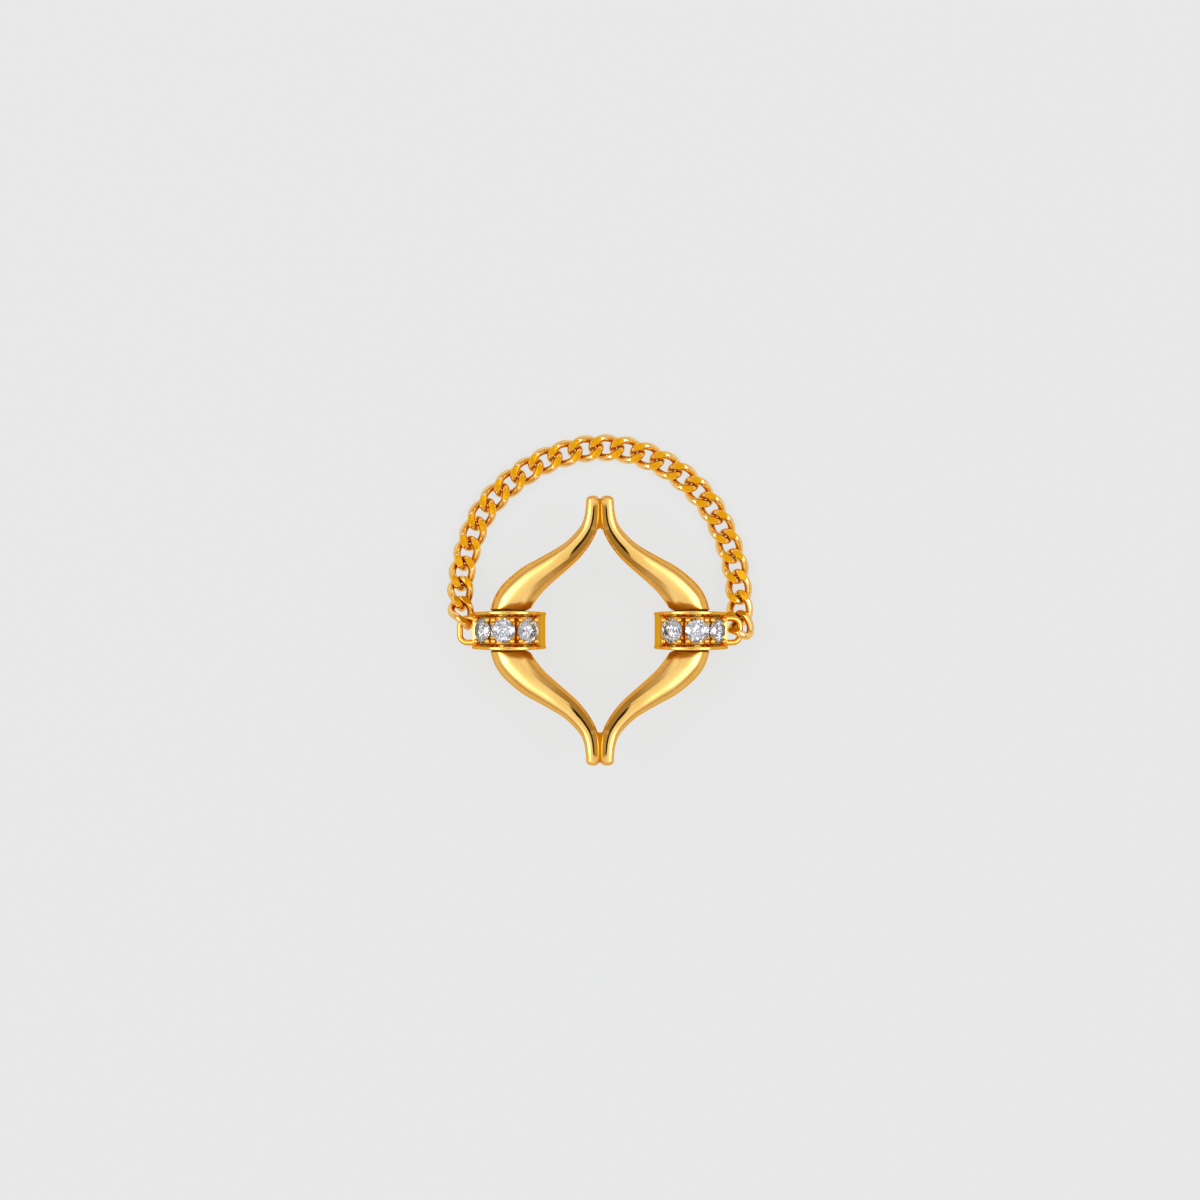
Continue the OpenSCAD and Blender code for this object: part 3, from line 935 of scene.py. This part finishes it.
link_count = len(HEADINGS) + 1
level_slopes = [0] * (len(HEADINGS) - len(LEFT_SLOPES) - len(RIGHT_SLOPES))
level_rolls = [0] * (link_count - len(LEFT_ROLLS) - len(RIGHT_ROLLS))
slopes = LEFT_SLOPES + level_slopes + RIGHT_SLOPES
rolls = LEFT_ROLLS + level_rolls + RIGHT_ROLLS
spots = [FIRST_LINK_AT]
for heading, slope in zip(HEADINGS, slopes):
    h, s = math.radians(heading), math.radians(slope)
    step = Vector((math.cos(h) * math.cos(s), math.sin(h) * math.cos(s), math.sin(s)))
    spots.append(spots[-1] + LINK_STEP * step)
error = LAST_LINK_AT - spots[-1]
turns = [FIRST_LINK_TURN]
for i in range(1, link_count - 1):
    pitch, yaw = -(slopes[i - 1] + slopes[i]) / 2, (HEADINGS[i - 1] + HEADINGS[i]) / 2
    turns.append((rolls[i], pitch, yaw))
turns.append(LAST_LINK_TURN)
print("the walk misses the last link by", round(error.length, 3), "mm")

# %% [markdown]
# Every link is made afresh at the middle of the ring and then moved to its spot, so that its
# object stays at the origin and its place is in its mesh.

# %% Lay the chain
LINK_EDGE_ANGLE = 30
for i, turn in enumerate(turns):
    spot = spots[i] + error * i / (link_count - 1)
    roll, pitch, yaw = (math.radians(angle) for angle in turn)
    pose = Matrix.Rotation(yaw, 4, "Z") @ Matrix.Rotation(pitch, 4, "Y") @ Matrix.Rotation(roll, 4, "X")
    link = bmesh.new()
    curb_link(link)
    bmesh.ops.transform(link, matrix=Matrix.Translation(spot) @ pose, verts=link.verts)
    name, node = f"curb_link_{i + 1}", f"link_{i + 1}"
    finish_piece(link, name, [chain_gold, flat_gold], [node], LINK_EDGE_ANGLE)
print("links:", link_count)

# %% [markdown]
# The ring lies on a plain pale sheet, which the photograph shows almost white right to its
# corners. A sheet under a lamp grows darker with distance, so most of its light is its own
# even glow, and the rest takes the ring's soft shadow.

# %% Pale sheet
SHEET_SIZE = 3000.0
sheet = bmesh.new()
bmesh.ops.create_grid(sheet, x_segments=1, y_segments=1, size=SHEET_SIZE / 2)
bmesh.ops.scale(sheet, vec=(MM, MM, MM), verts=sheet.verts)
floor_mesh = bpy.data.meshes.new("pale_sheet")
sheet.to_mesh(floor_mesh)
sheet.free()
floor = bpy.data.objects.new("pale_sheet", floor_mesh)
scene.collection.objects.link(floor)
# Uncoated paper scatters the light evenly and has hardly any shine.
paper = bpy.data.materials.new("matte_white_paper")
paper.use_nodes = True
paper_shader = paper.node_tree.nodes["Principled BSDF"]
paper_shader.inputs["Base Color"].default_value = linear("#424242")
paper_shader.inputs["Roughness"].default_value = 0.9
paper_shader.inputs["Specular IOR Level"].default_value = 0.1
paper_shader.inputs["Emission Color"].default_value = linear("#FFFFFE")
paper_shader.inputs["Emission Strength"].default_value = 0.724
floor_mesh.materials.append(paper)
print("sheet:", SHEET_SIZE, "mm square")

# %% [markdown]
# Polished metal shows what is round it, so the light is a tent, and its bands are drawn on
# the gold. A surface that slopes by some angle mirrors the tent at twice that angle from
# overhead. Low down the tent is orange, which gives the arms' edges their deep colour. Above
# that come a narrow pale band and a brown one, which darkens the planed flanks. The upper
# tent is white and a little cool, which keeps the gold from turning orange. Softboxes at the
# left and right draw the pale streaks along the arms.

# %% Bands of the tent
RAMP = "ShaderNodeValToRGB"
TENT_STOPS = [  # height on the tent, colour
    (0.0, (0.80, 0.48, 0.12)),
    (0.12, (0.85, 0.55, 0.18)),
    (0.20, (1.0, 0.96, 0.92)),
    (0.31, (0.42, 0.30, 0.14)),
    (0.44, (0.42, 0.30, 0.14)),
    (0.62, (1.08, 1.12, 1.28)),
    (0.75, (1.14, 1.21, 1.46)),
    (0.84, (0.94, 0.99, 1.16)),
    (0.94, (1.07, 1.09, 1.16)),
    (1.0, (1.05, 1.05, 1.07)),
]
SOFTBOX_STOPS = [  # how far to the side, colour
    (0.40, (0, 0, 0)),
    (0.56, (4.2, 4.45, 5.0)),
    (0.80, (4.2, 4.45, 5.0)),
    (0.86, (0.1, 0.1, 0.1)),
    (1.0, (0.1, 0.1, 0.1)),
]
SOFTBOX_DEPTH_STOPS = [(0.16, (1, 1, 1)), (0.36, (0, 0, 0))]

world = bpy.data.worlds.new("light tent")
scene.world = world
world.use_nodes = True
tent = world.node_tree
way = add_node(tent, "ShaderNodeTexCoord").outputs["Generated"]
parts = add_node(tent, "ShaderNodeSeparateXYZ", {"Vector": way})
aside = add_node(tent, "ShaderNodeMath", {0: parts.outputs["X"]}, operation="ABSOLUTE")
forward = add_node(tent, "ShaderNodeMath", {0: parts.outputs["Y"]}, operation="ABSOLUTE")
bands = add_node(tent, RAMP, {"Fac": parts.outputs["Z"]}, TENT_STOPS)
softboxes = add_node(tent, RAMP, {"Fac": aside.outputs["Value"]}, SOFTBOX_STOPS)
box_depth = add_node(tent, RAMP, {"Fac": forward.outputs["Value"]}, SOFTBOX_DEPTH_STOPS)
tent_inputs = {
    "Factor": box_depth.outputs["Color"],
    "A": bands.outputs["Color"],
    "B": softboxes.outputs["Color"],
}
lit = add_node(tent, "ShaderNodeMix", tent_inputs, data_type="RGBA", blend_type="ADD")
print("bands of the tent:", len(TENT_STOPS))

# %% [markdown]
# The lens looks in through a slot overhead, longer up the picture than across it. The gold
# mirrors it as the fine black line along the crest of each arm, and that line says
# "polished" more than anything else in the picture. The slot is an oval: the direction is
# stretched until the oval is a circle, and its distance from overhead is measured.

# %% Slot for the lens
SLOT_X = 0.075
SLOT_Y = 0.26
SLOT_STOPS = [(0.95, (0.004, 0.004, 0.004)), (1.0, (1, 1, 1))]
slot_scale = (1 / SLOT_X, 1 / SLOT_Y, 0)
flat_way = add_node(tent, "ShaderNodeVectorMath", {0: way, 1: slot_scale}, operation="MULTIPLY")
slot_inputs = {0: flat_way.outputs["Vector"]}
from_lens = add_node(tent, "ShaderNodeVectorMath", slot_inputs, operation="LENGTH")
slot_edge = add_node(tent, RAMP, {"Fac": from_lens.outputs["Value"]}, SLOT_STOPS)
cut_inputs = {"Factor": 1.0, "A": lit.outputs["Result"], "B": slot_edge.outputs["Color"]}
slotted = add_node(tent, "ShaderNodeMix", cut_inputs, data_type="RGBA", blend_type="MULTIPLY")
background = tent.nodes["Background"]
background.inputs["Strength"].default_value = 1.0
tent.links.new(slotted.outputs["Result"], background.inputs["Color"])
print("slot:", SLOT_X, "by", SLOT_Y)

# %% [markdown]
# A large lamp at the upper left adds the soft shadow. It is kept out of the reflections, so
# that the tent alone draws them. The colours are shown as they are, with no film look.

# %% Shadow lamp
LAMP_AT = (-0.25, 0.25, 0.4)
LAMP_SIZE = 0.25
LAMP_POWER = 0.25
lamp_data = bpy.data.lights.new("window lamp", "AREA")
lamp_data.shape = "SQUARE"
lamp_data.size = LAMP_SIZE
lamp_data.energy = LAMP_POWER
lamp = bpy.data.objects.new("window lamp", lamp_data)
lamp.location = LAMP_AT
lamp.rotation_euler = (-lamp.location).to_track_quat("-Z", "Y").to_euler()
lamp.visible_glossy = False
scene.collection.objects.link(lamp)
scene.view_settings.view_transform = "Standard"
scene.view_settings.look = "None"
print("lamp:", LAMP_POWER, "W")
